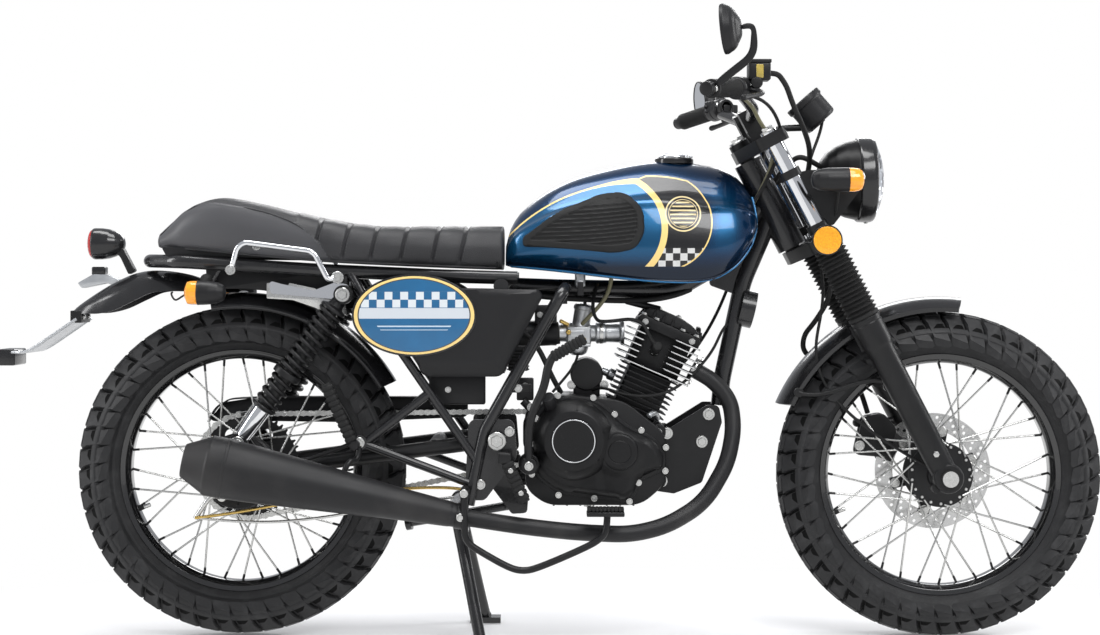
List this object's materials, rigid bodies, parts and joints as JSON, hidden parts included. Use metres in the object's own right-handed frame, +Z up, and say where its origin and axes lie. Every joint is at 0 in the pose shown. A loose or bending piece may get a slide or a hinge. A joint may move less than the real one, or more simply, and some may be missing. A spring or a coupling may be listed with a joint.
{
  "type": "cafe racer motorcycle",
  "caption": "Light cafe racer motorcycle: spoked wheels, low handlebar, blue tank, humped seat, single cylinder engine, chain drive and two stands.",
  "frame": {"origin": "on the floor below the middle of the machine", "axes": "+X forward, +Y to the rider's left, +Z up"},
  "size_m": [2.1077, 0.8926, 1.1571],
  "materials": {
    "tyre": "black rubber with a worn satin tread",
    "chrome": "polished chrome",
    "black_alloy": "cast aluminium in satin black enamel",
    "exhaust_black": "heat resistant matt black",
    "black_rim": "satin black powder coat",
    "alloy": "cast and machined aluminium, satin",
    "steel": "zinc plated and stainless steel",
    "black_metal": "gloss black enamel",
    "blue_paint": "deep metallic blue under clear lacquer",
    "vinyl": "black seat vinyl, fine grain",
    "black_plastic": "black moulded plastic",
    "rubber": "black moulded rubber",
    "amber": "amber lens plastic",
    "red_lens": "red lens plastic",
    "lamp": "black lamp shell with a clear lens"
  },
  "bodies": {
    "frame": {"main_frame": "black_metal", "rear_frame": "black_metal", "engine_plates": "black_metal", "swingarm": "black_metal", "shock_absorbers": "black_metal", "rear_axle": "steel", "rear_brake_panel": "black_alloy", "crankcase": "black_alloy", "engine_covers": "black_alloy", "cylinder": "black_alloy", "cylinder_head": "black_alloy", "carburettor": "alloy", "exhaust_pipe": "exhaust_black", "silencer": "exhaust_black", "fuel_tank": "blue_paint", "fuel_cap": "chrome", "seat": "vinyl", "seat_cowl": "vinyl", "side_covers": "black_plastic", "air_box": "black_plastic", "knee_pads": "rubber", "rear_mudguard": "black_plastic", "plate_bracket": "steel", "tail_light": "red_lens", "rear_indicators": "amber", "grab_rails": "chrome", "chain_guard": "black_plastic", "drive_chain": "steel", "footpegs": "rubber", "foot_controls": "black_metal"},
    "steering": {"fork_yokes": "black_alloy", "fork_stanchions": "chrome", "fork_gaiters": "rubber", "fork_sliders": "black_alloy", "front_axle": "steel", "front_fender": "black_plastic", "handlebar": "black_metal", "grips": "rubber", "hand_controls": "black_plastic", "mirrors": "black_plastic", "headlight": "lamp", "headlight_ears": "black_metal", "front_indicators": "amber", "speedometer": "black_plastic", "brake_caliper": "black_alloy", "brake_hose": "rubber"},
    "front_wheel": {"front_tyre": "tyre", "front_rim": "black_rim", "front_spokes": "steel", "front_hub": "black_alloy", "brake_disc": "steel"},
    "rear_wheel": {"rear_tyre": "tyre", "rear_rim": "black_rim", "rear_spokes": "steel", "rear_hub": "black_alloy", "rear_sprocket": "steel"},
    "centre_stand": {"centre_stand": "black_metal"},
    "side_stand": {"side_stand": "black_metal"}
  },
  "joints": [
    {"name": "steering", "type": "hinge", "parent": "frame", "child": "steering", "pos_m": [0.43591, 0, 0.79976], "axis": [-0.4587, 0, 0.8886], "range_deg": [-35, 35]},
    {"name": "front_wheel_spin", "type": "hinge", "parent": "steering", "child": "front_wheel", "pos_m": [0.745, 0, 0.309], "axis": [0, 1, 0], "continuous": true},
    {"name": "rear_wheel_spin", "type": "hinge", "parent": "frame", "child": "rear_wheel", "pos_m": [-0.5877, 0, 0.317], "axis": [0, 1, 0], "continuous": true},
    {"name": "centre_stand_fold", "type": "hinge", "parent": "frame", "child": "centre_stand", "pos_m": [-0.177, 0, 0.245], "axis": [0, 1, 0], "range_deg": [0, 93]},
    {"name": "side_stand_swing", "type": "hinge", "parent": "frame", "child": "side_stand", "pos_m": [-0.06, 0.114, 0.236], "axis": [0.0933, -0.9949, -0.0393], "range_deg": [0, 95]}
  ]
}
